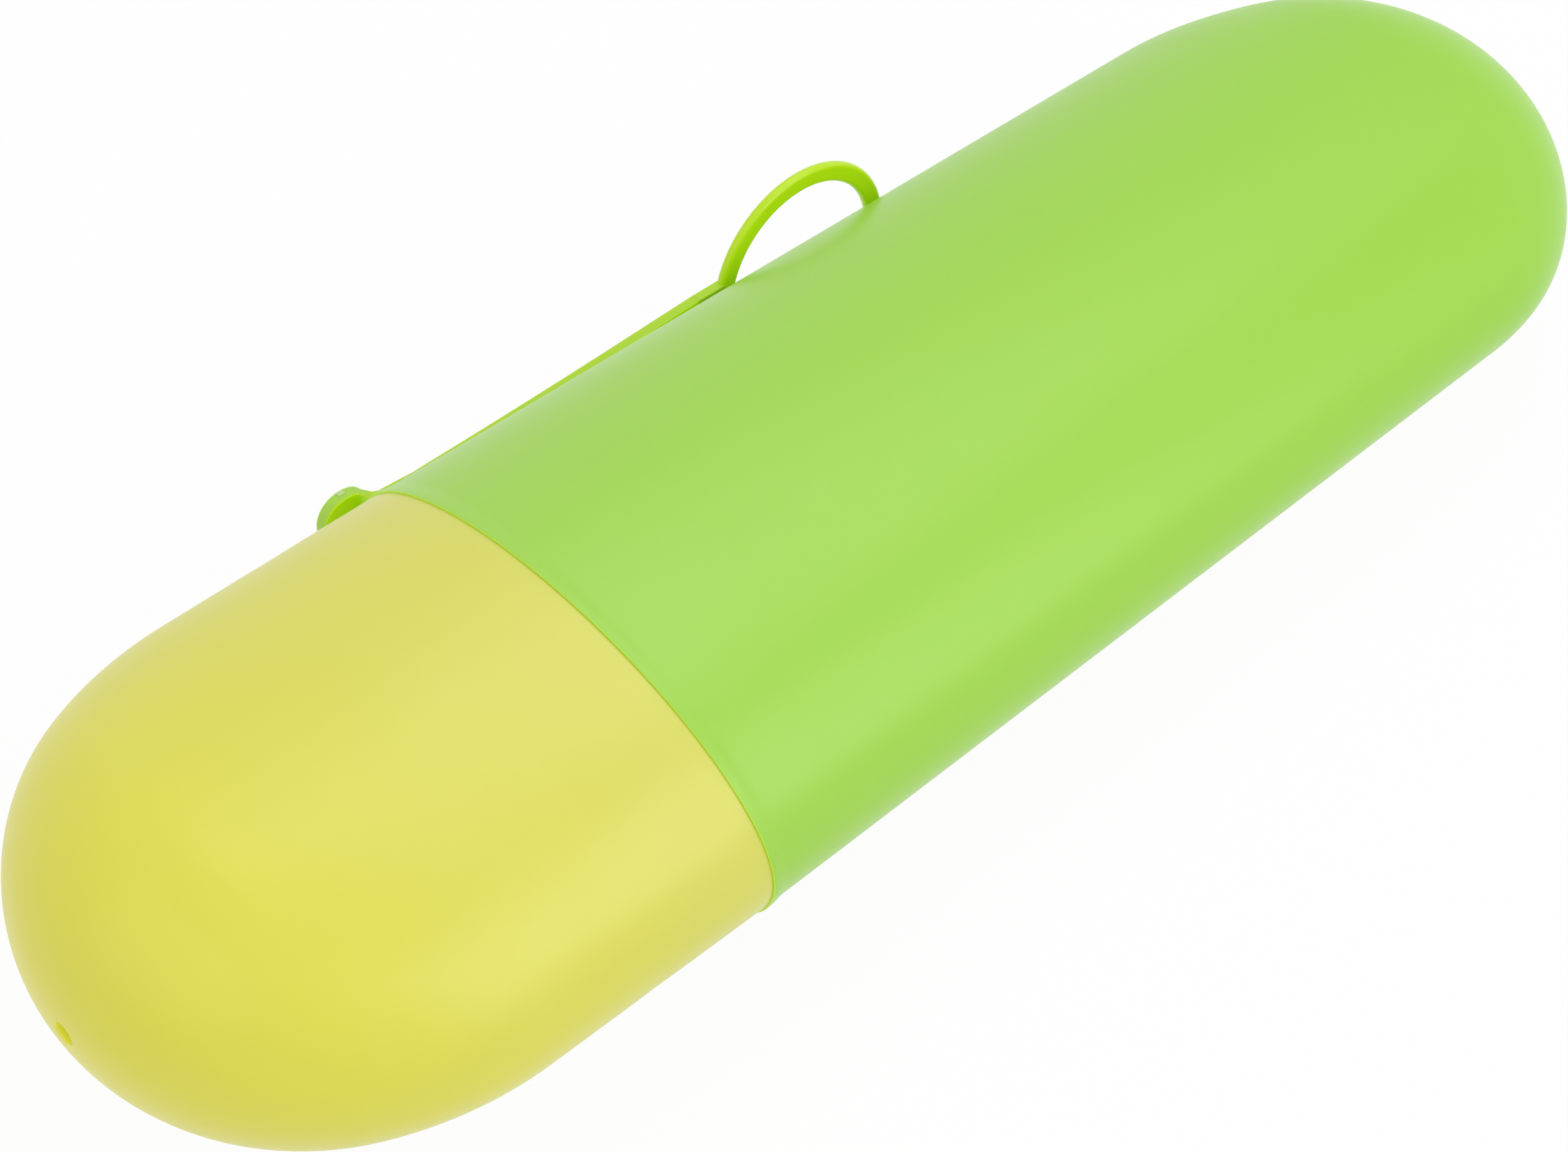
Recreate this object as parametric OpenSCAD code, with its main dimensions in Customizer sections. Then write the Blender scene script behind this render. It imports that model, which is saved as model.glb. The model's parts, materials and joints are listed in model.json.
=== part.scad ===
// Travel toothbrush case: a flattened capsule in two shells, a short cap pushed
// into a long body, with a flexible strap on one side that ends in a finger ring
// and in a pull tab. +X runs from the cap's tip to the body's tip, +Y is the side
// with the strap and +Z is up. The origin is under the middle of the whole object,
// at the height of the surface that the case lies on.

/* [Case] */
// Length of the closed case, tip to tip
case_length = 210; // [195:1:240]
// Width of the case at the joint line
case_width = 66; // [58:1:76]
// Thickness of the case at the joint line
case_thickness = 35; // [30:1:42]
// Length of the cap that shows, tip to joint line
cap_length = 60; // [50:1:70]
// Wall of both shells
wall = 1.3; // [1:0.1:1.6]
// Mould taper of each shell's outside, in degrees
taper = 0.45; // [0.1:0.05:0.7]
// Diameter of the air hole in the cap's tip
vent_d = 3; // [2:0.1:5]
// How far the air hole lies off the tip, away from the strap
vent_side = 1.3; // [0:0.1:2]
// How far the air hole lies above the tip
vent_up = 0.7; // [0:0.1:2]

/* [Joint] */
// How far the cap's neck reaches into the body
neck_length = 10; // [7:0.5:14]
// Gap all round between the neck and the body's mouth
neck_gap = 0.2; // [0.15:0.05:0.4]
// Gap between the body's rim and the cap's shoulder
shoulder_gap = 0.1; // [0.05:0.05:0.3]
// How far the body's rim swells out
rim_swell = 0.4; // [0.1:0.05:0.6]
// Length of the swelling at the body's rim
rim_length = 3.5; // [2:0.5:5]
// Width of the grip bead round the neck
bead_width = 1.6; // [1:0.1:2.4]
// Gap that the grip bead keeps from the body's mouth
bead_gap = 0.05; // [0.04:0.01:0.1]

/* [Strap] */
// Thickness of the strap, the ring and the tab
strap_thickness = 1.3; // [1:0.1:1.8]
// Width of the strap at the ring
strap_width = 8.2; // [6.4:0.2:10]
// Width of the strap at the tab
neck_width = 4.7; // [4.2:0.1:6]
// Length of the narrow stretch, from the joint line
narrow_length = 5; // [4:1:14]
// Gap between the strap and the side of the case
lie_gap = 0.1; // [0.05:0.05:0.2]
// Gap left at each fold of the strap
fold_gap = 0.1; // [0.05:0.05:0.2]
// Length of the stretch that is fixed to the body
anchor_length = 11; // [10:0.5:14]

/* [Ring] */
// Distance from the joint line to the ring's centre
ring_reach = 65; // [58:1:75]
// Outside diameter of the ring
ring_d = 26.8; // [22:0.2:30]
// Width of the ring's bar
ring_bar = 2.3; // [1.6:0.1:3]
// Chamfer on the ring's edges
ring_chamfer = 0.25; // [0.1:0.05:0.35]
// Length of the ring's root, from its fold to its outside
ring_root = 3; // [1.5:0.5:5]

/* [Tab] */
// Diameter of the pull tab
tab_d = 7.1; // [6.3:0.1:9]
// How far the tab's centre lies past the joint line
tab_reach = 0.3; // [0:0.1:2]
// How far the tab steps out from the strap
tab_rise = 1.9; // [0.8:0.1:2.4]
// Length of the step between strap and tab
step_length = 1.5; // [1.2:0.1:3]

/* [Studs] */
// Diameter of the strap's studs
stud_d = 3; // [2.6:0.1:3.2]
// Gap round the front stud in its hole, and behind the heads
stud_gap = 0.15; // [0.1:0.05:0.25]
// Distance from the joint line to the front stud
front_stud_reach = 7; // [5.5:0.5:9]
// Distance between the two anchor studs
anchor_pitch = 5.6; // [5:0.1:6]
// Diameter of the heads that hold the anchor studs
stud_head_d = 4.4; // [4:0.1:4.8]
// Thickness of those heads
stud_head = 0.8; // [0.6:0.1:1.2]

/* [Hidden] */

// Colours of the three mouldings
body_green = [0.65, 0.84, 0.35];
cap_yellow = [0.88, 0.86, 0.40];
strap_lime = [0.66, 0.84, 0.10];

// Facets round a shell, rings along its dome and steps of its swollen rim
shell_sides = 64;
dome_rings = 14;
rim_steps = 3;
fine = 64;
// Length over which the cap's inside narrows to its neck
shoulder_run = 2;

// The case's axis stands at half its thickness and off the middle of the strap's side
half_width = case_width / 2;
half_thick = case_thickness / 2;
body_length = case_length - cap_length;
joint_x = cap_length - case_length / 2;
lift_z = half_thick + rim_swell;

// Levels of the strap, measured out from the case's axis
ring_x = joint_x + ring_reach;
ring_fold_x = ring_x - ring_d / 2 - ring_root;
arm_fold_x = ring_fold_x - anchor_length;
narrow_x = joint_x + narrow_length;
tab_x = joint_x - tab_reach;
step_x = tab_x + tab_d / 2;
front_stud_x = joint_x + front_stud_reach;
strap_y = side_y(arm_fold_x) + lie_gap;
lip_y = half_width + rim_swell + lie_gap;
tab_y = lip_y + tab_rise;
tab_tip_x = tab_x - tab_d / 2;

// The origin lies in the middle of the whole width, from plain side to tab
mid_y = (tab_y + strap_thickness - half_width - rim_swell) / 2;

// Rounding of a dome: 0 at the tip, 1 where the straight part starts
function dome(s) = s >= 1 ? 1 : sqrt(1 - pow(1 - s, 2));

// Half size of a shell at a distance u from its tip, for a half size at the joint
function half_size(u, half, len, inset) =
    (half - inset - tan(taper) * (len - u)) * dome((u - inset) / (half - inset));

// Section of a shell: distance from its tip, half width and half thickness
function section(u, len, inset) =
    [u, half_size(u, half_width, len, inset), half_size(u, half_thick, len, inset)];

// Section that stands out from the shell's surface by some amount
function proud(u, len, out) = let (s = section(u, len, 0)) [u, s[1] + out, s[2] + out];

// Sections of a dome, closer together near the tip
function dome_sections(len, inset) = [for (k = [1 : dome_rings])
    section(inset + (half_width - inset) * (1 - cos(90 * k / dome_rings)), len, inset)];

function reversed(list) = [for (k = [len(list) - 1 : -1 : 0]) list[k]];

// Distance of the body's side from the case's axis, at a place along the case
function side_y(x) = half_size(case_length / 2 - x, half_width, body_length, 0);

// Half width of the strap at a place along the case
function strap_half(x) = let (s = (x - narrow_x) / (ring_fold_x - narrow_x))
    (neck_width + (strap_width - neck_width) * min(1, max(0, s))) / 2;

// Levels of the strap's outer face move back along the strap, so that the step is as thick as the rest
step_shift = strap_thickness * tan(atan((tab_y - arm_y(step_x)) / step_length) / 2);

// Level of the strap's inner face between the anchor and the body's rim
function arm_y(x) = strap_y + (lip_y - strap_y) * (arm_fold_x - x) / (arm_fold_x - joint_x);

// Closed skin through oval sections, from one pole to the other
module skin(first, sections, last) {
    n = shell_sides;
    m = len(sections);
    points = concat(
        [[first, 0, 0]],
        [for (s = sections) for (i = [0 : n - 1])
            [s[0], s[1] * cos(360 * i / n), s[2] * sin(360 * i / n)]],
        [[last, 0, 0]]);
    tip_fan = [for (i = [0 : n - 1]) [0, 1 + i, 1 + (i + 1) % n]];
    bands = [for (k = [0 : m - 2]) for (i = [0 : n - 1])
        let (a = 1 + k * n + i, b = 1 + k * n + (i + 1) % n)
        for (t = [[a, a + n, b + n], [a, b + n, b]]) t];
    end_fan = [for (i = [0 : n - 1])
        [1 + (m - 1) * n + i, 1 + m * n, 1 + (m - 1) * n + (i + 1) % n]];
    polyhedron(points, concat(tip_fan, bands, end_fan), convexity = 4);
}

// From the case's axis to the object's own origin
module place() {
    translate([0, -mid_y, lift_z]) children();
}

// A round bar across the case's wall, between two levels of Y
module across(x, d, y0, y1) {
    translate([x, y1, 0]) rotate([90, 0, 0]) cylinder(d = d, h = y1 - y0, $fn = fine);
}

// Flat shape in the X and Z plane, given a thickness outwards from a level of Y
module flat_plate(y) {
    translate([0, y + strap_thickness, 0]) rotate([90, 0, 0]) linear_extrude(strap_thickness) children();
}

// Outline of the tapering strap between two places along the case
module strap_outline(x0, x1) {
    stops = concat([x0], x0 < narrow_x && narrow_x < x1 ? [narrow_x] : [], [x1]);
    polygon(concat(
        [for (x = stops) [x, -strap_half(x)]],
        [for (x = reversed(stops)) [x, strap_half(x)]]));
}

// Long green shell with its swollen rim and the holes for the strap's studs
module body_shell() {
    rim = [for (k = [0 : rim_steps])
        proud(body_length - rim_length + rim_length * k / rim_steps, body_length,
            rim_swell * (1 - cos(180 * k / rim_steps)) / 2)];
    mouth = section(body_length, body_length, wall);
    sections = concat(dome_sections(body_length, 0), rim, [mouth], reversed(dome_sections(body_length, wall)));
    color(body_green) place() difference() {
        translate([case_length / 2, 0, 0]) mirror([1, 0, 0]) skin(0, sections, wall);
        for (x = anchor_studs()) across(x, stud_d, half_width / 2, half_width * 2);
        across(front_stud_x, stud_d + 2 * stud_gap, half_width / 2, half_width * 2);
    }
}

// Places of the two studs that hold the strap to the body
function anchor_studs() = let (mid = (arm_fold_x + ring_fold_x) / 2)
    [mid - anchor_pitch / 2, mid + anchor_pitch / 2];

// Short yellow shell with the neck that pushes into the body, and its air hole
module cap_shell() {
    len = cap_length - shoulder_gap;
    mouth_half = half_width - wall - neck_gap;
    mouth_thick = half_thick - wall - neck_gap;
    // The neck narrows into the body at the taper of the body's own wall
    function neck(d, out) = [cap_length + d, mouth_half - tan(taper) * d + out, mouth_thick - tan(taper) * d + out];
    bead_start = (neck_length - bead_width) / 2;
    bead_out = neck_gap - bead_gap;
    outside = concat(dome_sections(cap_length, 0), [section(len, cap_length, 0)]);
    neck_outside = [
        [len, neck(0, 0)[1], neck(0, 0)[2]],
        neck(bead_start, 0),
        neck(bead_start + bead_width / 2, bead_out),
        neck(bead_start + bead_width, 0),
        neck(neck_length, 0)];
    neck_inside = [
        neck(neck_length, -wall),
        [len - wall, neck(0, -wall)[1], neck(0, -wall)[2]],
        section(len - wall - shoulder_run, cap_length, wall)];
    sections = concat(outside, neck_outside, neck_inside, reversed(dome_sections(cap_length, wall)));
    color(cap_yellow) place() difference() {
        translate([-case_length / 2, 0, 0]) skin(0, sections, wall);
        translate([-case_length / 2 - wall, -vent_side, vent_up])
            rotate([0, 90, 0]) cylinder(d = vent_d, h = 4 * wall, $fn = fine);
    }
}

// Fixed stretch of the strap, held by two headed studs through the body's wall
module strap_anchor() {
    inner_y = side_y(ring_fold_x) - wall;
    inner_z = half_thick - wall - tan(taper) * (body_length - case_length / 2 + arm_fold_x);
    head_y = inner_y * dome(1 - stud_head_d / 2 / inner_z) - stud_gap;
    color(strap_lime) place() {
        flat_plate(strap_y) strap_outline(arm_fold_x, ring_fold_x);
        for (x = anchor_studs()) {
            across(x, stud_d, head_y - stud_head / 2, strap_y + strap_thickness / 2);
            across(x, stud_head_d, head_y - stud_head, head_y);
        }
    }
}

// Free stretch of the strap with its front stud and the stepped pull tab
module strap_arm() {
    root_x = arm_fold_x - fold_gap;
    t = strap_thickness;
    outer_x = step_x + step_shift;
    inner = [
        [root_x, arm_y(root_x)],
        [step_x, arm_y(step_x)],
        [step_x - step_length, tab_y],
        [tab_tip_x, tab_y]];
    outer = [
        [tab_tip_x, tab_y + t],
        [outer_x - step_length, tab_y + t],
        [outer_x, arm_y(outer_x) + t],
        [root_x, arm_y(root_x) + t]];
    stud_end_y = side_y(front_stud_x) - wall + stud_gap;
    color(strap_lime) place() {
        intersection() {
            translate([0, 0, -tab_d]) linear_extrude(2 * tab_d) polygon(concat(inner, outer));
            translate([0, 2 * half_width, 0]) rotate([90, 0, 0]) linear_extrude(2 * half_width) union() {
                strap_outline(tab_x, root_x);
                translate([tab_x, 0]) circle(d = tab_d, $fn = fine);
            }
        }
        across(front_stud_x, stud_d, stud_end_y, arm_y(front_stud_x) + strap_thickness / 2);
    }
}

// Finger ring on its short root, flat against the side of the body
module hang_ring() {
    root_x = ring_fold_x + fold_gap;
    outer_r = ring_d / 2;
    inner_r = outer_r - ring_bar;
    c = ring_chamfer;
    t = strap_thickness;
    bar = [
        [inner_r, c], [inner_r + c, 0], [outer_r - c, 0], [outer_r, c],
        [outer_r, t - c], [outer_r - c, t], [inner_r + c, t], [inner_r, t - c]];
    color(strap_lime) place() {
        translate([ring_x, strap_y + t, 0]) rotate([90, 0, 0]) rotate_extrude($fn = 2 * fine) polygon(bar);
        flat_plate(strap_y) strap_outline(root_x, ring_x - inner_r - 2 * c);
    }
}

body_shell();
cap_shell();
strap_anchor();
strap_arm();
hang_ring();
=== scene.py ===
"""A travel toothbrush case: a green body, a yellow cap pushed into it, and a lime strap on its side with a
finger ring and a pull tab. Each operator models one piece, or a group of pieces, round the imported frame."""

import json
import math

import bmesh
import bpy
from bpy.props import FloatProperty, FloatVectorProperty, IntProperty, PointerProperty
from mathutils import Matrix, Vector


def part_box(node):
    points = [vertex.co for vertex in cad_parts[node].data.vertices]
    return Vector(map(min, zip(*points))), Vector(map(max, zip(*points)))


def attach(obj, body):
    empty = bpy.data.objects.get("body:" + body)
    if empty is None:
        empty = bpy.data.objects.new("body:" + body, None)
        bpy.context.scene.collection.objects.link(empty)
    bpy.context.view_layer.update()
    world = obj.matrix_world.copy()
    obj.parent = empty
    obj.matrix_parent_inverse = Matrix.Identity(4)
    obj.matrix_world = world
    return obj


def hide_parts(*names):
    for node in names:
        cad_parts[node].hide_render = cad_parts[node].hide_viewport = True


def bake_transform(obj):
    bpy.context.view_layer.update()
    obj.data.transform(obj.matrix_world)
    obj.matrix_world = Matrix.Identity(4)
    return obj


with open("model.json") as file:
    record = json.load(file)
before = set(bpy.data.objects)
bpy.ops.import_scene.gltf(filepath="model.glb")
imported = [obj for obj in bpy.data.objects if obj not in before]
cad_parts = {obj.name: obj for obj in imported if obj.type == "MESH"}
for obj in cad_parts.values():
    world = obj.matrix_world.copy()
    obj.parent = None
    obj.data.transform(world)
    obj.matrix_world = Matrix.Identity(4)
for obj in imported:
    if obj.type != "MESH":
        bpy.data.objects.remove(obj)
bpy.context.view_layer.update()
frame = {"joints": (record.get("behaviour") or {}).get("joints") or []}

bl_info = {
    "name": "Toothbrush Case",
    "version": (1, 0, 0),
    "blender": (4, 5, 0),
    "location": "View3D > Sidebar > Case",
    "description": "Models a two-shell toothbrush case with its strap, ring and pull tab",
    "category": "Add Mesh",
}

MM = 0.001
RIGHT_ANGLE = math.radians(90)

# Play in tests of place, and the distance below which two points are one
SLACK = 0.01 * MM
SAME = 0.001 * MM

# How far the strap and the ring's root run past their common cut before they are trimmed there
SPARE = 2 * MM

# Places of the frame's own solids
BODY_LOW, BODY_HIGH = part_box("body_shell")
CAP_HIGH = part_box("cap_shell")[1]
ARM_LOW, ARM_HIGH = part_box("strap_arm")
RING_LOW, RING_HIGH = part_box("hang_ring")
JOINTS = {joint["name"]: joint for joint in frame["joints"]}
ARM_FOLD = Vector(JOINTS["strap_lift"]["pos_m"])
RING_FOLD = Vector(JOINTS["ring_swing"]["pos_m"])

# The case's own axis, its tips and the joint between its shells
AXIS_Y = (BODY_LOW.y + BODY_HIGH.y) / 2
AXIS_Z = (BODY_LOW.z + BODY_HIGH.z) / 2
REAR_X = BODY_HIGH.x
FRONT_X = -REAR_X
JOINT_X = BODY_LOW.x

# The strap lies in one plane, and its ring is centred behind its fold
RING_R = (RING_HIGH.z - RING_LOW.z) / 2
RING_X = RING_HIGH.x - RING_R


def length(label, about, millimetres):
    """A size that can be changed in the sidebar, given in millimetres."""
    return FloatProperty(name=label, description=about, default=millimetres * MM, min=0,
                         max=max(4 * millimetres, 1) * MM, precision=5, subtype="DISTANCE", unit="LENGTH")


def count(label, about, number, low, high):
    """A number of points or rings that can be changed in the sidebar."""
    return IntProperty(name=label, description=about, default=number, min=low, max=high)


def amount(label, about, number, high=1.0):
    """A share or a strength that can be changed in the sidebar."""
    return FloatProperty(name=label, description=about, default=number, min=0, max=high, precision=3)


def tint(label, about, colour):
    """A colour that can be changed in the sidebar."""
    return FloatVectorProperty(name=label, description=about, default=colour, min=0, max=1, size=3,
                               subtype="COLOR")


class ShellSizes(bpy.types.PropertyGroup):
    """Sizes of the two hard shells."""

    sides: count("Sides", "Points round each shell", 192, 48, 384)
    rings: count("Rings", "Rings along each dome", 40, 12, 80)
    taper: FloatProperty(name="Taper", description="Mould taper of the outside", default=math.radians(0.45),
                         min=0, max=math.radians(1), subtype="ANGLE")
    wall: length("Wall", "Thickness of both shells", 1.3)
    rim_swell: length("Rim swell", "How far the body's rim stands out", 0.24)
    rim_length: length("Rim length", "Length of the swollen rim", 2.4)
    rim_edge: length("Rim edge", "Radius on the rim's outer edge", 0.06)
    mouth_edge: length("Mouth edge", "Radius on the mouth's inner edge", 0.25)
    shoulder_gap: length("Shoulder gap", "Gap between the rim and the cap's shoulder", 0.01)
    shoulder_run: length("Shoulder run", "Length over which the cap's inside narrows to its neck", 2)
    shoulder_edge: length("Shoulder edge", "Radius on the edge of the cap's shoulder", 0.02)
    dip_reach: length("Dip reach", "Distance from the joint to the faint dip round the cap", 13.6)
    dip: length("Dip", "Depth of the faint dip round the cap", 0.03)
    neck_length: length("Neck length", "How far the neck reaches into the body", 10)
    neck_gap: length("Neck gap", "Gap round the neck", 0.2)
    neck_edge: length("Neck edge", "Radius on the neck's end", 0.4)
    bead_width: length("Bead width", "Width of the grip bead", 1.6)
    bead_gap: length("Bead gap", "Gap that the grip bead keeps", 0.05)
    vent: length("Air hole", "Diameter of the air hole", 2.6)
    vent_side: length("Air hole side", "How far the air hole lies off the tip, away from the strap", 1.55)
    vent_up: length("Air hole height", "How far the air hole lies above the tip", 1.2)
    vent_flare: length("Air hole flare", "Radius round the mouth of the air hole", 0.2)


class StrapSizes(bpy.types.PropertyGroup):
    """Sizes of the soft strap, its ring and its tab."""

    edge: length("Edge", "Radius on the strap's edges", 0.15)
    flare_width: length("Flare width", "Width of the strap where it leaves the tab", 5.27)
    neck_width: length("Neck width", "Width of the strap at the end of its narrow stretch", 4.9)
    root_width: length("Root width", "Width of the strap at the ring", 8.2)
    narrow: length("Narrow stretch", "Length of the narrow stretch from the joint line", 8)
    tab: length("Tab", "Diameter of the pull tab", 7.1)
    tab_extra: length("Tab extra", "How much thicker the pull tab is than the strap", 0.3)
    tab_sides: count("Tab sides", "Points round the pull tab", 120, 24, 180)
    step: length("Step", "Length of the step between strap and tab", 2)
    step_inset: length("Step inset", "How far inside the tab's outline the inner face steps", 0.45)
    step_shift: length("Step shift", "How much sooner the outer face steps than the inner one", 0.6)
    lie_gap: length("Lie gap", "Gap between the strap and the swollen rim", 0.1)
    ring_bar: length("Ring bar", "Width of the ring's bar", 2.4)
    ring_edge: length("Ring edge", "Radius on the ring's edges", 0.58)
    stud: length("Stud", "Diameter of the strap's studs", 3)
    stud_edge: length("Stud edge", "Radius on the studs' edges", 0.2)
    stud_gap: length("Stud gap", "Gap round the front stud and behind the heads", 0.15)
    stud_reach: length("Front stud", "Distance from the joint line to the front stud", 7)
    stud_pitch: length("Stud pitch", "Distance between the two anchor studs", 5.6)
    head: length("Stud head", "Diameter of the anchor studs' heads", 4.4)
    head_depth: length("Head thickness", "Thickness of the anchor studs' heads", 0.8)


class Finish(bpy.types.PropertyGroup):
    """Colours of the mouldings, how dull they are, and the painted glows that stand in for light coming
    through them.
    """

    body: tint("Body", "Green of the body shell at its mouth", (0.364, 0.683, 0.068))
    body_tip: tint("Body tip", "Green of the body shell at its tip", (0.322, 0.662, 0.040))
    # Painted glow: the rim's end faces get this lime as colour and as emission, standing in for light that
    # comes through the translucent rim
    painted_rim_glow: tint("Body edge", "Lime of the body's rim, where light comes out of it", (0.43, 0.67, 0.03))
    cap: tint("Cap", "Yellow of the cap at the joint", (0.714, 0.711, 0.122))
    cap_tip: tint("Cap tip", "Yellow of the cap at its tip", (0.783, 0.742, 0.060))
    # Painted glow: the air hole's faces get this yellow as colour and as emission, lightening the shade
    # inside the hole
    painted_hole_glow: tint("Cap edge", "Yellow of the air hole, where light comes out of it", (0.88, 0.86, 0.06))
    strap: tint("Strap", "Lime of the strap", (0.46, 0.72, 0.012))
    # Painted glow: faces turned towards the case get this lime as colour and as emission, lightening their
    # shade
    painted_back_glow: tint("Strap back", "Lime of the strap where light comes through it", (0.44, 0.70, 0.0))
    # Painted glow: the ring's faces get this brighter copy of the strap's lime as colour and as emission
    ring: tint("Ring", "Lime of the ring, which light comes through from all sides", (0.49, 0.72, 0.0))
    # Painted sheen: the tab's outer part gets this paler lime, standing in for the white reflection on its
    # rim
    tab: tint("Tab", "Paler lime of the pull tab", (0.40, 0.69, 0.07))
    gate: tint("Gate mark", "Pale tint of the sprue's mark on the tab", (0.58, 0.77, 0.27))
    # Strength of the rim's painted glow
    edge_glow: amount("Rim glow", "Light that comes out of the body's rim", 0.22)
    # Strength of the air hole's painted glow
    hole_glow: amount("Air hole glow", "Light that comes out of the air hole", 0.14)
    # Strength of the painted glow on the strap's back
    strap_glow: amount("Strap glow", "Light that comes through the strap's back", 0.22)
    # Strength of the ring's painted glow
    ring_glow: amount("Ring glow", "Light that comes through the ring", 0.09)
    roughness: amount("Roughness", "How dull the hard shells are", 0.33)
    soft_roughness: amount("Strap roughness", "How dull the strap is", 0.5)


class Studio(bpy.types.PropertyGroup):
    """Camera and lights."""

    lens: FloatProperty(name="Lens", description="Focal length on a 36 mm wide sensor", default=62.53,
                        min=20, max=200)
    place: FloatVectorProperty(name="Camera place", description="Where the camera stands", size=3,
                               default=(-0.15004, AXIS_Y - 0.15263, AXIS_Z + 0.21190),
                               subtype="TRANSLATION")
    turn: FloatVectorProperty(name="Camera turn", description="Which way the camera looks", size=3,
                              default=(math.radians(43.38), math.radians(0.71), math.radians(-42.60)),
                              subtype="EULER")
    room: amount("Room light", "Strength of the light from all round", 0.645, 10)
    near: amount("Near light", "Power of the soft box on the near side, in watts", 2.06, 10)
    top: amount("Top light", "Power of the soft box above and behind, in watts", 1.16, 10)
    end: amount("End light", "Power of the soft box past the cap's end, in watts", 0.75, 10)
    floor: amount("Floor white", "How white the camera sees the floor, where 1 hides the shadow", 0.95)


def clear_selection():
    """Leaves nothing selected or open for editing."""
    if bpy.context.object and bpy.context.object.mode != "OBJECT":
        bpy.ops.object.mode_set(mode="OBJECT")
    bpy.ops.object.select_all(action="DESELECT")


def open_new(name):
    """Names the primitive just added, sets its place into its mesh and opens it, all selected."""
    piece = bpy.context.object
    piece.name = name
    bpy.ops.object.transform_apply(location=True, rotation=True, scale=True)
    bpy.ops.object.mode_set(mode="EDIT")
    bpy.ops.mesh.select_all(action="SELECT")
    return piece


def reopen(piece):
    """Opens a piece for editing with nothing in it selected."""
    clear_selection()
    piece.select_set(True)
    bpy.context.view_layer.objects.active = piece
    bpy.ops.object.mode_set(mode="EDIT")
    bpy.ops.mesh.select_all(action="DESELECT")


def pick(piece, test):
    """Selects the vertices of the open piece whose place passes the test."""
    bpy.ops.mesh.select_all(action="DESELECT")
    shape = bmesh.from_edit_mesh(piece.data)
    for vertex in shape.verts:
        if test(vertex.co):
            vertex.select_set(True)
    shape.select_flush(True)
    bmesh.update_edit_mesh(piece.data)


def grow(shift):
    """Extrudes the selected edges by a shift."""
    bpy.ops.mesh.extrude_edges_move(TRANSFORM_OT_translate={"value": shift})


def resize(scale, centre):
    """Scales what is selected about a centre."""
    bpy.ops.transform.resize(value=scale, center_override=centre)


def loft(name, sections, sides, centre):
    """A closed skin: an oval round the first pole, drawn out section by section to the last pole."""
    (first_x, _, _), *ovals, (last_x, _, _) = sections
    clear_selection()
    x, half_width, half_thickness = ovals[0]
    bpy.ops.mesh.primitive_circle_add(vertices=sides, radius=1, fill_type="TRIFAN", location=(x, *centre),
                                      rotation=(0, RIGHT_ANGLE, 0))
    piece = open_new(name)
    resize((1, half_width, half_thickness), (x, *centre))
    hub = Vector((x, *centre))
    pick(piece, lambda co: (co - hub).length < min(half_width, half_thickness) / 2)
    bpy.ops.transform.translate(value=(first_x - x, 0, 0))
    bpy.ops.mesh.select_all(action="SELECT")
    bpy.ops.mesh.region_to_loop()
    for (x0, width0, thickness0), (x1, width1, thickness1) in zip(ovals, ovals[1:]):
        grow((x1 - x0, 0, 0))
        resize((1, width1 / width0, thickness1 / thickness0), (x1, *centre))
    grow((last_x - ovals[-1][0], 0, 0))
    bpy.ops.mesh.merge(type="CENTER")
    bpy.ops.mesh.select_all(action="SELECT")
    bpy.ops.mesh.normals_make_consistent(inside=False)
    bpy.ops.object.mode_set(mode="OBJECT")
    return piece


def apply_modifier(piece, kind, **settings):
    """Adds a modifier with these settings and applies it."""
    clear_selection()
    piece.select_set(True)
    bpy.context.view_layer.objects.active = piece
    modifier = piece.modifiers.new(kind.title(), kind)
    for key, value in settings.items():
        setattr(modifier, key, value)
    bpy.ops.object.modifier_apply(modifier=modifier.name)


def combine(piece, tool, operation):
    """Cuts the tool out of the piece, or joins it on, and removes the tool."""
    apply_modifier(piece, "BOOLEAN", object=tool, operation=operation, solver="EXACT")
    bpy.data.objects.remove(tool)


def smooth(piece):
    """Smooth shading that keeps the flat faces flat and the corners crisp."""
    clear_selection()
    piece.select_set(True)
    bpy.context.view_layer.objects.active = piece
    bpy.ops.object.shade_smooth_by_angle(angle=math.radians(35))


def quarter(depth, out, radius, start, steps=4):
    """A quarter round from an angle on: 0 faces outwards, 90 towards the open end."""
    angles = [math.radians(start + 90 * k / steps) for k in range(steps + 1)]
    return [(depth + radius * math.sin(a), out + radius * math.cos(a)) for a in angles]


class Shell:
    """The skin of one shell, measured as depth from its tip."""

    def __init__(self, sizes, full):
        self.sizes = sizes
        self.full = full
        self.halves = (CAP_HIGH.y - AXIS_Y, CAP_HIGH.z - AXIS_Z)

    def oval(self, depth, inset=0.0, out=0.0):
        """Depth, half width and half thickness of the skin, or of a wall inside it."""
        loss = math.tan(self.sizes.taper) * (self.full - depth)
        shares = [min(1, (depth - inset) / (half - inset)) for half in self.halves]
        return (depth, *((half - inset - loss) * math.sqrt(1 - (1 - share) ** 2) + out
                         for half, share in zip(self.halves, shares)))

    def dome(self, inset=0.0):
        """Sections from the pole to the straight part, closer together near the pole."""
        reach = self.halves[0] - inset
        rings = self.sizes.rings
        depths = [inset + reach * (1 - math.cos(math.radians(90 * k / rings))) for k in range(rings + 1)]
        return [self.oval(depth, inset) for depth in depths]

    def run(self, start, stop, inset=0.0, steps=6):
        """Sections along the straight part, both ends left out."""
        return [self.oval(start + (stop - start) * k / steps, inset) for k in range(1, steps)]


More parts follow.
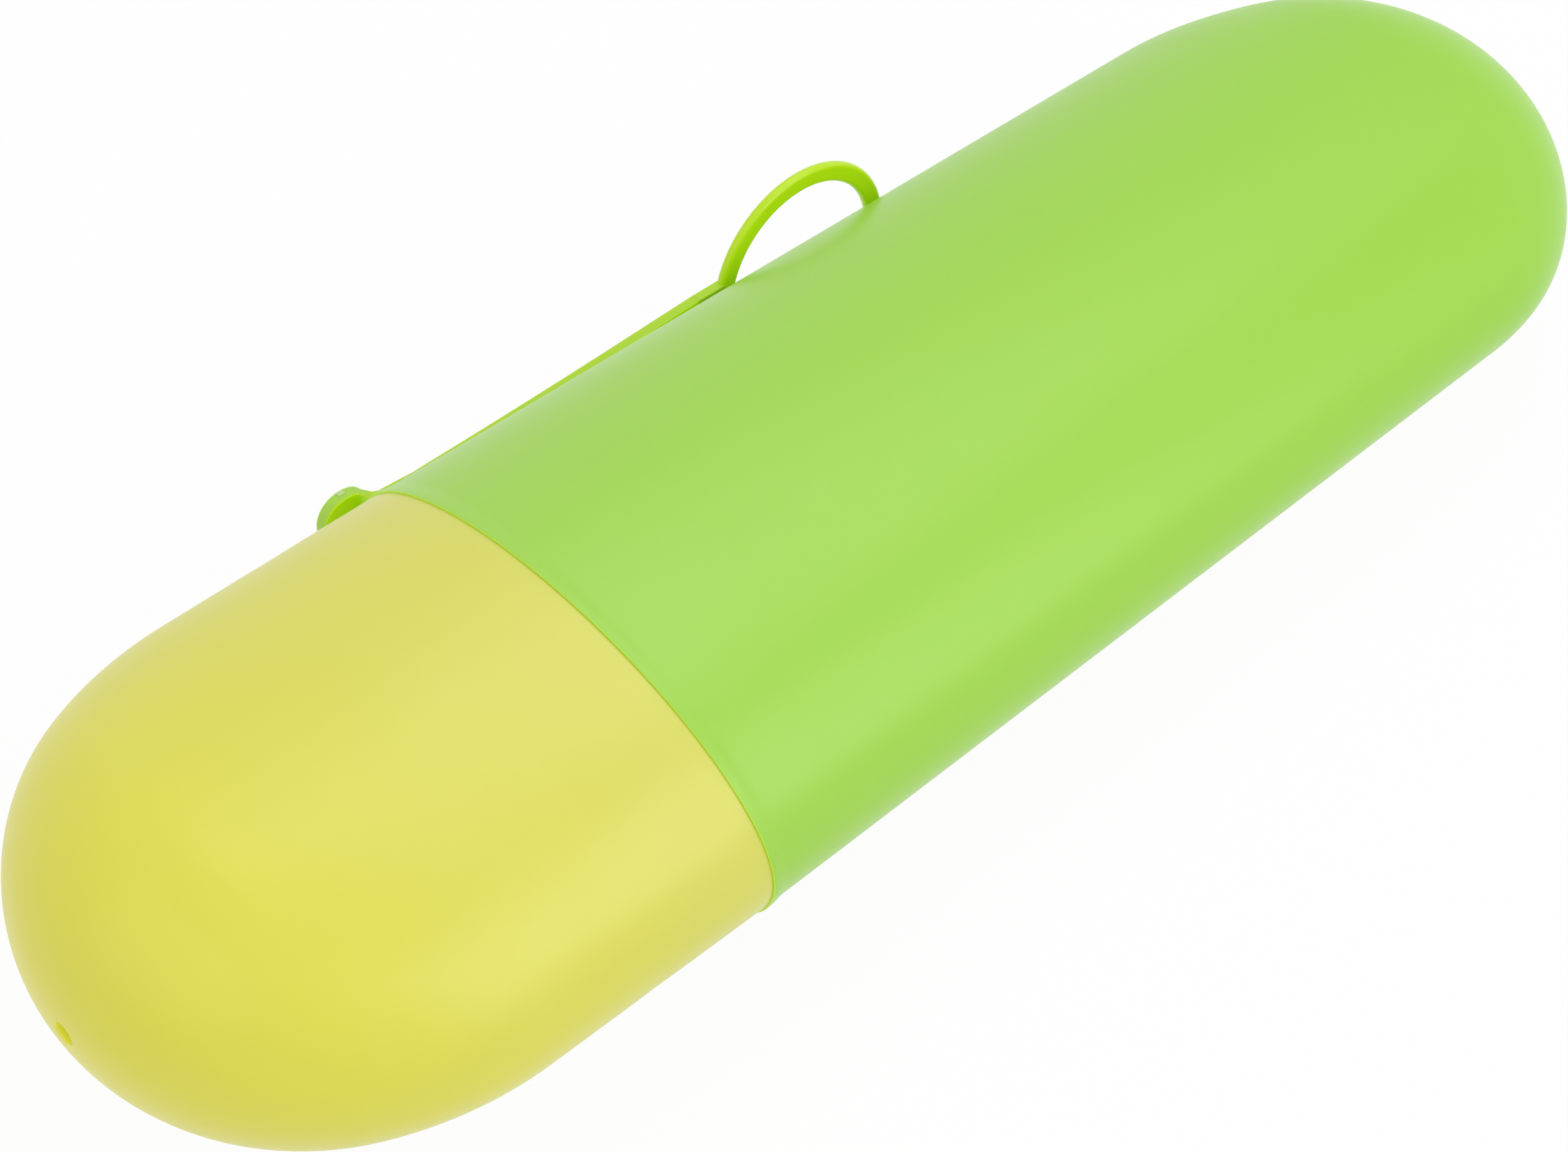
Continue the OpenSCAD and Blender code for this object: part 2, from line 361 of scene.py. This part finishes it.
def body_sections(sizes):
    """The body from its outer tip round the swollen rim to its inner tip."""
    full = REAR_X - JOINT_X
    shell = Shell(sizes, full)
    wall = sizes.wall
    rim_start = full - sizes.rim_length
    waves = 10
    rim = []
    for k in range(waves):
        share = k / waves
        rim.append(shell.oval(rim_start + (sizes.rim_length - sizes.rim_edge) * share,
                              out=sizes.rim_swell * (1 - math.cos(math.pi * share)) / 2))
    edge = quarter(full - sizes.rim_edge, sizes.rim_swell - sizes.rim_edge, sizes.rim_edge, 0)
    mouth = quarter(full - sizes.mouth_edge, sizes.mouth_edge - wall, sizes.mouth_edge, 90)
    outside = shell.dome() + shell.run(shell.halves[0], rim_start) + rim
    rounds = [shell.oval(depth, out=out) for depth, out in edge + mouth]
    inside = shell.dome(wall) + shell.run(shell.halves[0], full - sizes.mouth_edge, wall)
    sections = outside + rounds + inside[::-1]
    return [(REAR_X - depth, width, thickness) for depth, width, thickness in sections]


def cap_sections(sizes):
    """The cap from its outer tip over the shoulder, round the neck and its bead, to its inner tip."""
    full = JOINT_X - FRONT_X
    shell = Shell(sizes, full)
    wall = sizes.wall
    shoulder = full - sizes.shoulder_gap

    def neck(reach, out=0.0):
        loss = wall + sizes.neck_gap + math.tan(sizes.taper) * reach
        return (full + reach, *(half - loss + out for half in shell.halves))

    bead_start = (sizes.neck_length - sizes.bead_width) / 2
    waves = 8
    bead = [neck(bead_start + sizes.bead_width * k / waves,
                 (sizes.neck_gap - sizes.bead_gap) * (1 - math.cos(2 * math.pi * k / waves)) / 2)
            for k in range(waves + 1)]
    edge = [shell.oval(depth, out=out) for depth, out in
            quarter(shoulder - sizes.shoulder_edge, -sizes.shoulder_edge, sizes.shoulder_edge, 0)]
    end = quarter(sizes.neck_length - sizes.neck_edge, -sizes.neck_edge, sizes.neck_edge, 0)
    end += quarter(sizes.neck_length - sizes.neck_edge, sizes.neck_edge - wall, sizes.neck_edge, 90)
    root = (shoulder, *neck(0)[1:])
    inner_root = (shoulder - wall, *neck(0, -wall)[1:])
    # A shallow dip runs round the outside, where the wall gets thicker towards the neck
    dip_at, dip_half = full - sizes.dip_reach, 3 * MM
    dip = [shell.oval(dip_at + dip_half * share, out=-sizes.dip * (1 + math.cos(math.pi * share)) / 2)
           for share in (-1, -0.75, -0.5, -0.25, 0, 0.25, 0.5, 0.75, 1)]
    outside = shell.dome() + shell.run(shell.halves[0], dip_at - dip_half, steps=3) + dip
    outside += shell.run(dip_at + dip_half, shoulder - sizes.shoulder_edge, steps=3) + edge
    inside = shell.dome(wall) + [shell.oval(shoulder - wall - sizes.shoulder_run, wall)]
    sections = outside + [root] + bead + [neck(*point) for point in end] + [inner_root] + inside[::-1]
    return [(FRONT_X + depth, width, thickness) for depth, width, thickness in sections]


def stud_places(strap):
    """Places of the front stud and of the two anchor studs along the case."""
    middle = (ARM_FOLD.x + RING_FOLD.x) / 2
    return JOINT_X + strap.stud_reach, (middle - strap.stud_pitch / 2, middle + strap.stud_pitch / 2)


def bar_across(name, x, radius, y0, y1):
    """A round bar through the case's side at a place along it."""
    clear_selection()
    bpy.ops.mesh.primitive_cylinder_add(vertices=64, radius=radius, depth=y1 - y0,
                                        location=(x, (y0 + y1) / 2, AXIS_Z), rotation=(RIGHT_ANGLE, 0, 0))
    piece = open_new(name)
    bpy.ops.object.mode_set(mode="OBJECT")
    return piece


class CASE_OT_body(bpy.types.Operator):
    """Model the long green shell with its swollen rim and the holes for the strap's studs"""

    bl_idname = "case.body"
    bl_label = "Body Shell"

    def execute(self, context):
        sizes, strap = context.scene.case_shells, context.scene.case_strap
        piece = loft("body", body_sections(sizes), sizes.sides, (AXIS_Y, AXIS_Z))
        front, anchors = stud_places(strap)
        holes = [(front, strap.stud / 2 + strap.stud_gap)] + [(x, strap.stud / 2) for x in anchors]
        # The drills go through the near wall alone
        start, stop = BODY_HIGH.y - 8 * MM, BODY_HIGH.y + 4 * MM
        for x, radius in holes:
            combine(piece, bar_across("drill", x, radius, start, stop), "DIFFERENCE")
        smooth(piece)
        finish = context.scene.case_finish
        material = plastic("body", finish.body, finish.roughness, finish.body_tip, REAR_X)
        finish_piece(piece, material, "body_shell", "body")
        # Painted glow on the rim's end faces: it stands in for light that comes through the translucent rim
        # and lightens the shade in the crease at the joint
        light_faces(piece, "painted_rim_glow", finish.painted_rim_glow, finish.edge_glow,
                    lambda normal, corners: all(co.x < JOINT_X + sizes.rim_edge for co in corners))
        return {"FINISHED"}


class CASE_OT_cap(bpy.types.Operator):
    """Model the yellow cap with its neck, grip bead and air hole"""

    bl_idname = "case.cap"
    bl_label = "Cap"

    def execute(self, context):
        sizes = context.scene.case_shells
        piece = loft("cap", cap_sections(sizes), sizes.sides, (AXIS_Y, AXIS_Z))
        radius, flare = sizes.vent / 2, sizes.vent_flare
        mouth = radius + flare
        flares = [(FRONT_X + flare - depth, mouth - out, mouth - out)
                  for depth, out in quarter(0, 0, flare, 0, 5)]
        start, stop = FRONT_X - 2 * MM, FRONT_X + 4 * MM
        profile = [(start, 0, 0), (start, 2 * radius, 2 * radius), (FRONT_X, mouth, mouth)]
        profile += flares[::-1] + [(stop, radius, radius), (stop, 0, 0)]
        centre = (AXIS_Y - sizes.vent_side, AXIS_Z + sizes.vent_up)
        combine(piece, loft("drill", profile, 96, centre), "DIFFERENCE")
        smooth(piece)
        finish = context.scene.case_finish
        material = plastic("cap", finish.cap, finish.roughness, finish.cap_tip, FRONT_X)
        finish_piece(piece, material, "cap_shell", "cap")
        # Painted glow on the air hole's wall: it lightens the shade in the hole and stands in for light that
        # comes through the translucent cap
        reach = radius + 0.3 * flare
        light_faces(piece, "painted_hole_glow", finish.painted_hole_glow, finish.hole_glow,
                    lambda normal, corners: all(math.dist(co[1:], centre) < reach for co in corners))
        return {"FINISHED"}


def finish_piece(piece, material, nodes=None, body=None):
    """Gives a piece its material, hides the frame's parts that it stands for, and hangs it on a body's empty.
    """
    piece.data.materials.clear()
    piece.data.materials.append(material)
    if nodes:
        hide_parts(*([nodes] if isinstance(nodes, str) else nodes))
    if body:
        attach(piece, body)


def light_faces(piece, name, colour, strength, test):
    """Gives faces, picked by normal and corners, a material with a painted glow for the light that comes out
    of them: emission in its own colour.
    """
    material = plastic(name, colour, bpy.context.scene.case_finish.roughness)
    shader = material.node_tree.nodes["Principled BSDF"]
    shader.inputs["Emission Color"].default_value = (*colour, 1)
    shader.inputs["Emission Strength"].default_value = strength
    piece.data.materials.append(material)
    for face in piece.data.polygons:
        if test(face.normal, [piece.data.vertices[corner].co for corner in face.vertices]):
            face.material_index = 1


def rubber():
    """The strap's own material, made once for all its pieces, with a painted sheen that makes it paler where
    the tab stands out.
    """
    finish = bpy.context.scene.case_finish
    # The paler tint on the tab's outer part is a painted reflection of the white room
    pale, full = ARM_HIGH.y - 1.1 * MM, ARM_HIGH.y - 1.5 * MM
    return bpy.data.materials.get("strap") or plastic("strap", finish.strap, finish.soft_roughness,
                                                      finish.tab, pale, full, "Y")


def band_half(strap, x):
    """Half width of the tapering strap at a place along the case."""
    start = JOINT_X + strap.narrow
    share = min(1, max(0, (x - start) / (RING_FOLD.x - start)))
    return (strap.neck_width + (strap.root_width - strap.neck_width) * share) / 2


def step_rise(share):
    """Share of the tab's height that is reached at a share of the step's length."""
    profile = ((0, 0), (0.33, 0.16), (0.72, 0.83), (0.81, 0.93), (0.92, 0.98), (1, 1))
    for (x0, y0), (x1, y1) in zip(profile, profile[1:]):
        if share <= x1:
            return y0 + (y1 - y0) * (share - x0) / (x1 - x0)
    return 1


def thicken(piece, thickness):
    """Gives a flat outline its thickness away from the case."""
    apply_modifier(piece, "SOLIDIFY", thickness=thickness, offset=1)


def round_edges(piece, strap):
    """Softens a strap's long edges."""
    apply_modifier(piece, "BEVEL", width=strap.edge, segments=4, limit_method="ANGLE",
                   angle_limit=math.radians(45), use_clamp_overlap=False)


def cut(x, **settings):
    """Cuts the whole open piece across at a place along the case."""
    bpy.ops.mesh.select_all(action="SELECT")
    bpy.ops.mesh.bisect(plane_co=(x, 0, 0), plane_no=(1, 0, 0), threshold=SAME, **settings)


def trim(piece, x, keep_low):
    """Cuts a piece square at a place along the case and closes the cut."""
    reopen(piece)
    cut(x, use_fill=True, clear_outer=keep_low, clear_inner=not keep_low)
    bpy.ops.object.mode_set(mode="OBJECT")


def face_out(piece):
    """Turns a flat open piece so that it faces away from the case."""
    shape = bmesh.from_edit_mesh(piece.data)
    shape.faces.ensure_lookup_table()
    if shape.faces[0].normal.y < 0:
        bpy.ops.mesh.select_all(action="SELECT")
        bpy.ops.mesh.flip_normals()


class CASE_OT_strap(bpy.types.Operator):
    """Model the flat strap with its round pull tab, and the studs on its back"""

    bl_idname = "case.strap"
    bl_label = "Strap"

    def execute(self, context):
        sizes, strap = context.scene.case_shells, context.scene.case_strap
        thickness = RING_HIGH.y - RING_LOW.y
        piece = self.outline(strap)
        thicken(piece, thickness)
        self.shape(piece, strap, thickness)
        round_edges(piece, strap)
        trim(piece, RING_FOLD.x, keep_low=True)
        smooth(piece)
        apply_modifier(piece, "WEIGHTED_NORMAL", keep_sharp=True)
        finish_piece(piece, rubber(), ("strap_arm", "strap_anchor"))
        finish = context.scene.case_finish
        # Painted glow on the faces turned towards the case: it lightens their shade and stands in for light
        # that comes through the strap and bounces off the cap
        light_faces(piece, "painted_back_glow", finish.painted_back_glow, finish.strap_glow,
                    lambda normal, corners: normal.y < -0.25)
        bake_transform(piece)
        self.studs(sizes, strap, thickness)
        self.gate_mark(finish, strap)
        return {"FINISHED"}

    def outline(self, strap):
        """The tab's circle, opened where the strap leaves it, and the strap drawn out from there."""
        radius = strap.tab / 2
        self.tab_x = ARM_LOW.x + radius
        inner_y = RING_LOW.y
        clear_selection()
        place = (self.tab_x, inner_y, AXIS_Z)
        bpy.ops.mesh.primitive_circle_add(vertices=strap.tab_sides, radius=radius, location=place,
                                          rotation=(RIGHT_ANGLE, 0, 0))
        piece = open_new("strap")
        corners = {round(vertex.co.x - self.tab_x, 6) for vertex in piece.data.vertices}
        neck = math.sqrt(radius ** 2 - (strap.flare_width / 2) ** 2)
        self.corners = [self.tab_x + x for x in sorted(corners, reverse=True) if x < neck + SLACK]
        chord = self.corners[0]
        pick(piece, lambda co: co.x > chord + SLACK)
        bpy.ops.mesh.delete(type="VERT")
        bpy.ops.mesh.select_all(action="SELECT")
        bpy.ops.mesh.edge_face_add()
        pick(piece, lambda co: co.x > chord - SLACK)
        x0, half = chord, math.sqrt(radius ** 2 - (chord - self.tab_x) ** 2)
        for x1 in (JOINT_X + strap.narrow, RING_FOLD.x, RING_FOLD.x + SPARE):
            grow((x1 - x0, 0, 0))
            resize((1, 1, band_half(strap, x1) / half), (x1, inner_y, AXIS_Z))
            x0, half = x1, band_half(strap, x1)
        bpy.ops.mesh.select_all(action="SELECT")
        bpy.ops.mesh.normals_make_consistent(inside=False)
        face_out(piece)
        bpy.ops.object.mode_set(mode="OBJECT")
        return piece

    def shape(self, piece, strap, thickness):
        """Bends the flat strap out over the rim, and steps the tab out from it."""
        lip = BODY_HIGH.y + strap.lie_gap - RING_LOW.y
        tabs = (ARM_HIGH.y - RING_HIGH.y - strap.tab_extra, ARM_HIGH.y - RING_HIGH.y)
        run = ARM_FOLD.x - JOINT_X
        starts = [self.tab_x + strap.tab / 2 - strap.step_inset]
        starts.append(starts[0] + strap.step_shift)

        def level(x, face):
            """How far the inner face, 0, or the outer face, 1, stands out at a place."""
            neck = lip * ((ARM_FOLD.x - max(x, starts[face])) / run) ** 2
            return neck + (tabs[face] - neck) * step_rise(max(0, starts[face] - x) / strap.step)

        bends = 12
        places = [ARM_FOLD.x + (starts[1] - ARM_FOLD.x) * k / bends for k in range(bends + 1)]
        places += [(starts[0] + starts[1]) / 2, starts[0]]
        places += [x for x in self.corners if x > starts[0] - 1.1 * strap.step]
        reopen(piece)
        for x in places:
            cut(x)
        heights = [RING_LOW.y, RING_HIGH.y]
        for last, x in zip(places, places[1:]):
            for face, now in enumerate(heights):
                pick(piece, lambda co: co.x < x + SLACK and abs(co.y - now) < thickness / 3)
                heights[face] = now + level(x, face) - level(last, face)
                bpy.ops.transform.translate(value=(0, heights[face] - now, 0))
        bpy.ops.mesh.select_all(action="SELECT")
        bpy.ops.mesh.normals_make_consistent(inside=False)
        bpy.ops.object.mode_set(mode="OBJECT")

    def studs(self, sizes, strap, thickness):
        """The plain front stud, and two studs with heads inside the body."""
        front, anchors = stud_places(strap)
        shell = Shell(sizes, REAR_X - JOINT_X)
        root = RING_LOW.y + thickness / 2

        def inner_side(x):
            return AXIS_Y + shell.oval(REAR_X - x, sizes.wall)[1]

        piece = bar_across("front_stud", front, strap.stud / 2, inner_side(front) + strap.stud_gap, root)
        self.soften(piece, strap)
        finish_piece(piece, rubber(), body="arm")
        for name, x in zip(("anchor_stud_front", "anchor_stud_rear"), anchors):
            head_y = inner_side(x) - 3 * strap.stud_gap
            piece = bar_across(name, x, strap.stud / 2, head_y - strap.head_depth / 2, root)
            head = bar_across("head", x, strap.head / 2, head_y - strap.head_depth, head_y)
            combine(piece, head, "UNION")
            self.soften(piece, strap)
            finish_piece(piece, rubber(), body="body")

    def soften(self, piece, strap):
        """Takes the sharpness off a stud's edges."""
        apply_modifier(piece, "BEVEL", width=strap.stud_edge, segments=3, limit_method="ANGLE",
                       angle_limit=math.radians(60))
        smooth(piece)

    def gate_mark(self, finish, strap):
        """The small pale stub that the sprue left on the tab's rim."""
        angle = math.radians(91)
        size, edge, depth = (0.9 * MM, 0.7 * MM, 0.16 * MM), 0.06 * MM, 0.5 * MM
        across, up = strap.tab / 2 * math.cos(angle), strap.tab / 2 * math.sin(angle)
        place = (self.tab_x + across, ARM_HIGH.y - depth, AXIS_Z + up)
        clear_selection()
        bpy.ops.mesh.primitive_cube_add(size=1, location=place, rotation=(0, RIGHT_ANGLE - angle, 0))
        piece = open_new("gate_mark")
        resize(size, place)
        bpy.ops.object.mode_set(mode="OBJECT")
        apply_modifier(piece, "BEVEL", width=edge, segments=3)
        smooth(piece)
        material = plastic("gate_mark", finish.gate, finish.soft_roughness)
        finish_piece(piece, material, body="arm")


class CASE_OT_ring(bpy.types.Operator):
    """Model the finger ring and its short root"""

    bl_idname = "case.ring"
    bl_label = "Finger Ring"

    def execute(self, context):
        strap = context.scene.case_strap
        thickness = RING_HIGH.y - RING_LOW.y
        piece = self.bar(strap, thickness)
        combine(piece, self.root(strap, thickness), "UNION")
        smooth(piece)
        apply_modifier(piece, "WEIGHTED_NORMAL", keep_sharp=True)
        finish_piece(piece, rubber(), "hang_ring")
        # Painted glow on the whole ring, standing in for light that comes through it
        finish, centre, reach = context.scene.case_finish, (RING_X, AXIS_Z), RING_R + SLACK
        light_faces(piece, "ring_glow", finish.ring, finish.ring_glow,
                    lambda normal, corners: all(math.dist((co.x, co.z), centre) < reach for co in corners))
        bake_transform(piece)
        return {"FINISHED"}

    def bar(self, strap, thickness):
        """A rounded bar spun round the ring's centre."""
        middle_y = (RING_LOW.y + RING_HIGH.y) / 2
        place = (RING_X + RING_R - strap.ring_bar / 2, middle_y, AXIS_Z)
        clear_selection()
        bpy.ops.mesh.primitive_plane_add(size=1, location=place)
        piece = open_new("ring")
        resize((strap.ring_bar, thickness, 1), place)
        bpy.ops.mesh.bevel(offset=strap.ring_edge, segments=6, affect="VERTICES")
        bpy.ops.mesh.delete(type="ONLY_FACE")
        bpy.ops.mesh.select_all(action="SELECT")
        bpy.ops.mesh.spin(steps=144, angle=2 * math.pi, center=(RING_X, middle_y, AXIS_Z), axis=(0, 1, 0))
        bpy.ops.mesh.select_all(action="SELECT")
        bpy.ops.mesh.remove_doubles(threshold=SAME)
        bpy.ops.mesh.normals_make_consistent(inside=False)
        bpy.ops.object.mode_set(mode="OBJECT")
        return piece

    def root(self, strap, thickness):
        """The flat root that joins the ring to the strap."""
        clear_selection()
        start = RING_FOLD.x - SPARE
        end = RING_X - RING_R + strap.ring_bar / 2
        place = (start, RING_LOW.y, AXIS_Z)
        bpy.ops.mesh.primitive_plane_add(size=1, location=place, rotation=(RIGHT_ANGLE, 0, 0))
        piece = open_new("root")
        resize((end - start, 1, strap.root_width), place)
        bpy.ops.transform.translate(value=((end - start) / 2, 0, 0))
        face_out(piece)
        # Cuts across the root, a millimetre apart from the fold on
        for reach in range(1, 8):
            cut(RING_FOLD.x + reach * MM)
        bpy.ops.object.mode_set(mode="OBJECT")
        thicken(piece, thickness)
        round_edges(piece, strap)
        trim(piece, RING_FOLD.x, keep_low=False)
        return piece


def plastic(name, colour, dullness, tip_colour=None, tip=None, root=JOINT_X, axis="X"):
    """Moulded plastic with a finely eroded surface, a faint mottle, and another tint towards its tip."""
    material = bpy.data.materials.new(name)
    material.use_nodes = True
    nodes, links = material.node_tree.nodes, material.node_tree.links
    shader = nodes["Principled BSDF"]
    place = nodes.new("ShaderNodeTexCoord")

    def noise(size, detail):
        node = nodes.new("ShaderNodeTexNoise")
        node.inputs["Scale"].default_value = 1 / size
        node.inputs["Detail"].default_value = detail
        links.new(place.outputs["Object"], node.inputs["Vector"])
        return node

    def spread(value, low, high, start=0.0, stop=1.0):
        node = nodes.new("ShaderNodeMapRange")
        node.inputs["From Min"].default_value = start
        node.inputs["From Max"].default_value = stop
        node.inputs["To Min"].default_value = low
        node.inputs["To Max"].default_value = high
        links.new(value, node.inputs["Value"])
        return node.outputs["Result"]

    share = spread(noise(14 * MM, 2).outputs["Fac"], -0.1, 0.1)
    # Towards the tip the colour blends into a second tint; on the strap this paints the sheen on the tab's
    # outer part
    if tip is not None:
        parts = nodes.new("ShaderNodeSeparateXYZ")
        links.new(place.outputs["Object"], parts.inputs["Vector"])
        total = nodes.new("ShaderNodeMath")
        total.use_clamp = True
        links.new(spread(parts.outputs[axis], 0, 1, root, tip), total.inputs[0])
        links.new(share, total.inputs[1])
        share = total.outputs["Value"]
    blend = nodes.new("ShaderNodeMix")
    blend.data_type = "RGBA"
    links.new(share, blend.inputs["Factor"])
    blend.inputs["A"].default_value = (*colour, 1)
    blend.inputs["B"].default_value = (*(tip_colour or [0.8 * part for part in colour]), 1)
    links.new(blend.outputs["Result"], shader.inputs["Base Color"])
    gloss = noise(5 * MM, 3)
    links.new(spread(gloss.outputs["Fac"], dullness - 0.04, dullness + 0.04), shader.inputs["Roughness"])

    grain = noise(0.25 * MM, 2)
    bump = nodes.new("ShaderNodeBump")
    bump.inputs["Strength"].default_value = 0.25
    bump.inputs["Distance"].default_value = 0.02 * MM
    links.new(grain.outputs["Fac"], bump.inputs["Height"])
    links.new(bump.outputs["Normal"], shader.inputs["Normal"])

    shader.inputs["Subsurface Weight"].default_value = 0.25
    shader.inputs["Subsurface Radius"].default_value = (1.0, 1.0, 0.5)
    shader.inputs["Subsurface Scale"].default_value = 1.5 * MM
    shader.inputs["IOR"].default_value = 1.5
    return material


def seen_or_reflected(nodes, links):
    """A value of 1 where the camera, a reflection or a clear piece looks at the surface, else 0."""
    path = nodes.new("ShaderNodeLightPath")
    value = path.outputs["Is Camera Ray"]
    for ray in ("Is Glossy Ray", "Is Transmission Ray"):
        either = nodes.new("ShaderNodeMath")
        either.operation = "MAXIMUM"
        links.new(value, either.inputs[0])
        links.new(path.outputs[ray], either.inputs[1])
        value = either.outputs["Value"]
    return value


class CASE_OT_stage(bpy.types.Operator):
    """Set up the pale floor, the soft lights and the camera"""

    bl_idname = "case.stage"
    bl_label = "Stage"

    def execute(self, context):
        studio = context.scene.case_studio
        self.floor(studio)
        self.room(studio)
        self.lights(studio)
        self.camera(context, studio)
        context.scene.view_settings.view_transform = "Standard"
        return {"FINISHED"}

    def floor(self, studio):
        """A white floor that shows white to the camera and still takes the case's soft shadow."""
        clear_selection()
        bpy.ops.mesh.primitive_plane_add(size=6, location=(0, 0, 0))
        floor = bpy.context.object
        floor.name = "floor"
        material = bpy.data.materials.new("floor")
        material.use_nodes = True
        nodes, links = material.node_tree.nodes, material.node_tree.links
        shader = nodes["Principled BSDF"]
        shader.inputs["Base Color"].default_value = (0.9, 0.9, 0.9, 1)
        shader.inputs["Roughness"].default_value = 0.9
        shader.inputs["Specular IOR Level"].default_value = 0
        glow = nodes.new("ShaderNodeEmission")
        blend = nodes.new("ShaderNodeMixShader")
        share = nodes.new("ShaderNodeMath")
        share.operation = "MULTIPLY"
        share.inputs[1].default_value = studio.floor
        links.new(seen_or_reflected(nodes, links), share.inputs[0])
        links.new(share.outputs["Value"], blend.inputs["Fac"])
        links.new(shader.outputs["BSDF"], blend.inputs[1])
        links.new(glow.outputs["Emission"], blend.inputs[2])
        links.new(blend.outputs["Shader"], nodes["Material Output"].inputs["Surface"])
        floor.data.materials.append(material)

    def room(self, studio):
        """Even light from all round, white where the camera or a reflection sees it."""
        world = bpy.data.worlds.new("room")
        bpy.context.scene.world = world
        world.use_nodes = True
        nodes, links = world.node_tree.nodes, world.node_tree.links
        light = nodes["Background"]
        light.inputs["Color"].default_value = (1, 1, 1, 1)
        level = nodes.new("ShaderNodeMapRange")
        level.inputs["To Min"].default_value = studio.room
        level.inputs["To Max"].default_value = 1
        links.new(seen_or_reflected(nodes, links), level.inputs["Value"])
        links.new(level.outputs["Result"], light.inputs["Strength"])

    def lights(self, studio):
        """Three soft boxes, which the shells show as broad pale streaks."""
        self.soft_box("near_light", -70, 38, 0.62, 0.62, studio.near)
        self.soft_box("top_light", 30, 65, 0.62, 0.45, studio.top)
        self.soft_box("end_light", 175, 35, 0.70, 0.70, studio.end)

    def soft_box(self, name, side, height, width, depth, power):
        """A rectangle of light aimed at the case from an angle round it and an angle above the floor."""
        distance = 0.85
        side, height = math.radians(side), math.radians(height)
        way = Vector((math.cos(side) * math.cos(height), math.sin(side) * math.cos(height),
                      math.sin(height)))
        clear_selection()
        bpy.ops.object.light_add(type="AREA", location=way * distance)
        lamp = bpy.context.object
        lamp.name = name
        lamp.data.shape = "RECTANGLE"
        lamp.data.size = width
        lamp.data.size_y = depth
        lamp.data.energy = power
        lamp.rotation_euler = way.to_track_quat("Z", "Y").to_euler()

    def camera(self, context, studio):
        """The camera at the photographed view, looking down on the cap's end."""
        clear_selection()
        bpy.ops.object.camera_add(location=studio.place, rotation=studio.turn)
        camera = bpy.context.object
        camera.data.lens = studio.lens
        camera.data.sensor_width = 36
        camera.data.clip_start = 0.01
        camera.data.clip_end = 20
        context.scene.camera = camera


class CASE_PT_panel(bpy.types.Panel):
    """Sizes, colours and steps of the toothbrush case"""

    bl_idname = "CASE_PT_panel"
    bl_label = "Toothbrush Case"
    bl_space_type = "VIEW_3D"
    bl_region_type = "UI"
    bl_category = "Case"

    def draw(self, context):
        scene = context.scene
        for operator in STEPS:
            self.layout.operator(operator.bl_idname)
        for group in (scene.case_shells, scene.case_strap, scene.case_finish, scene.case_studio):
            box = self.layout.box()
            for key in group.bl_rna.properties.keys():
                if key not in ("rna_type", "name"):
                    box.prop(group, key)


GROUPS = {"case_shells": ShellSizes, "case_strap": StrapSizes, "case_finish": Finish, "case_studio": Studio}
STEPS = (CASE_OT_body, CASE_OT_cap, CASE_OT_strap, CASE_OT_ring, CASE_OT_stage)


def register():
    for kind in (*GROUPS.values(), *STEPS, CASE_PT_panel):
        bpy.utils.register_class(kind)
    for name, kind in GROUPS.items():
        setattr(bpy.types.Scene, name, PointerProperty(type=kind))


def unregister():
    for name in GROUPS:
        delattr(bpy.types.Scene, name)
    for kind in (CASE_PT_panel, *reversed(STEPS), *reversed(GROUPS.values())):
        bpy.utils.unregister_class(kind)


def main():
    register()
    bpy.ops.case.body()
    bpy.ops.case.cap()
    bpy.ops.case.strap()
    bpy.ops.case.ring()
    bpy.ops.case.stage()


if __name__ == "__main__":
    main()
